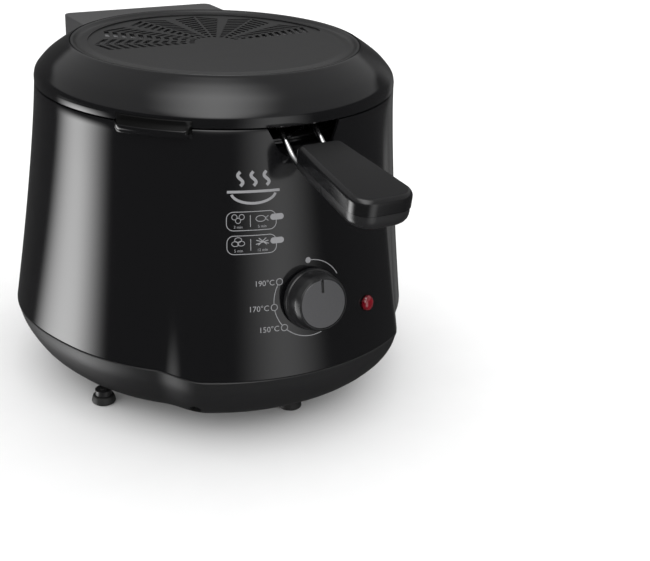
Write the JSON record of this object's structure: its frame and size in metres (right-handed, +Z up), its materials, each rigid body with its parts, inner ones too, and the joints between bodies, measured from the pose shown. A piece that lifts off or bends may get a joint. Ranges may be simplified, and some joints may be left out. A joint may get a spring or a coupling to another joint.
{
  "type": "compact deep fryer",
  "caption": "Compact electric deep fryer: glossy shell on a base tray, fixed bowl and heater, rear-hinged filter lid, thermostat knob and a wire basket with a handle.",
  "frame": {"origin": "middle of the whole object's footprint, on the surface it stands on", "axes": "+Z up, the control panel and the basket handle towards -Y, the hinge towards +Y, +X to the right as seen from the front"},
  "size_m": [0.2754, 0.3588, 0.2309],
  "materials": {
    "gloss_black": "polished black moulding",
    "satin_grey": "fine-grained dark grey moulding",
    "matte_black": "matte black moulding",
    "rubber_foot": "soft black rubber",
    "bowl_metal": "non-stick coated aluminium",
    "bright_steel": "bright zinc-plated steel",
    "chrome_wire": "nickel-plated drawn wire",
    "pressed_aluminium": "mill finish sheet",
    "brass": "drawn brass tube",
    "insulator": "glazed off-white insulator",
    "red_lens": "clear red lens",
    "wire_sleeve": "silicone and glass-fibre sleeving",
    "knob_grey": "brushed dark grey disc",
    "pointer": "black inlay"
  },
  "bodies": {
    "root": {"body_shell": "gloss_black", "base_tray": "matte_black", "corner_screw_left": "bright_steel", "corner_screw_right": "bright_steel", "foot_front": "rubber_foot", "foot_left": "rubber_foot", "foot_right": "rubber_foot", "foot_rear_left": "rubber_foot", "foot_rear_right": "rubber_foot", "fryer_bowl": "bowl_metal", "heat_spreader": "pressed_aluminium", "heating_element": "bright_steel", "heat_shield": "pressed_aluminium", "shield_stud_1": "bright_steel", "shield_stud_2": "bright_steel", "shield_stud_3": "bright_steel", "thermostat": "insulator", "thermostat_bracket": "bright_steel", "sensor_bulb": "brass", "sensor_capillary": "brass", "thermal_fuse": "insulator", "terminal_block": "insulator", "pilot_lens": "red_lens", "pilot_lamp": "insulator", "wire_live": "wire_sleeve", "wire_neutral": "wire_sleeve", "wire_lamp": "wire_sleeve", "rear_housing": "matte_black", "cable_inlet": "rubber_foot", "hinge_pin": "bright_steel"},
    "lid": {"lid_shell": "gloss_black", "lid_disc": "satin_grey", "grease_filter": "pressed_aluminium", "filter_cover": "bright_steel", "lid_liner": "pressed_aluminium", "liner_screw_1": "bright_steel", "liner_screw_2": "bright_steel", "lid_seal": "rubber_foot", "lid_tab": "gloss_black", "hinge_cover": "satin_grey"},
    "basket": {"basket_mesh": "chrome_wire", "basket_rim": "chrome_wire", "support_wire_left": "chrome_wire", "support_wire_right": "chrome_wire", "drain_bracket": "chrome_wire", "rod_bracket": "chrome_wire", "handle_rod_left": "chrome_wire", "handle_rod_right": "chrome_wire", "handle_cover": "gloss_black", "handle_grip": "matte_black", "handle_screw": "bright_steel"},
    "knob": {"knob": "matte_black", "knob_cap": "knob_grey", "knob_pointer": "pointer", "knob_shaft": "bright_steel"}
  },
  "joints": [
    {"name": "lid_hinge", "type": "hinge", "parent": "root", "child": "lid", "pos_m": [0, 0.1617, 0.203], "axis": [-1, 0, 0], "range_deg": [0, 95]},
    {"name": "basket_lift", "type": "slide", "parent": "root", "child": "basket", "axis": [0, 0, 1], "range_m": [0, 0.108]},
    {"name": "thermostat_knob", "type": "hinge", "parent": "root", "child": "knob", "pos_m": [-0.003, -0.10444, 0.0985], "axis": [0.0215, 0.9842, -0.1756], "range_deg": [0, 304]}
  ],
  "couplings": [
    {"joint": "basket_lift", "follows": "lid_hinge", "m_per_rad": 0.065}
  ]
}
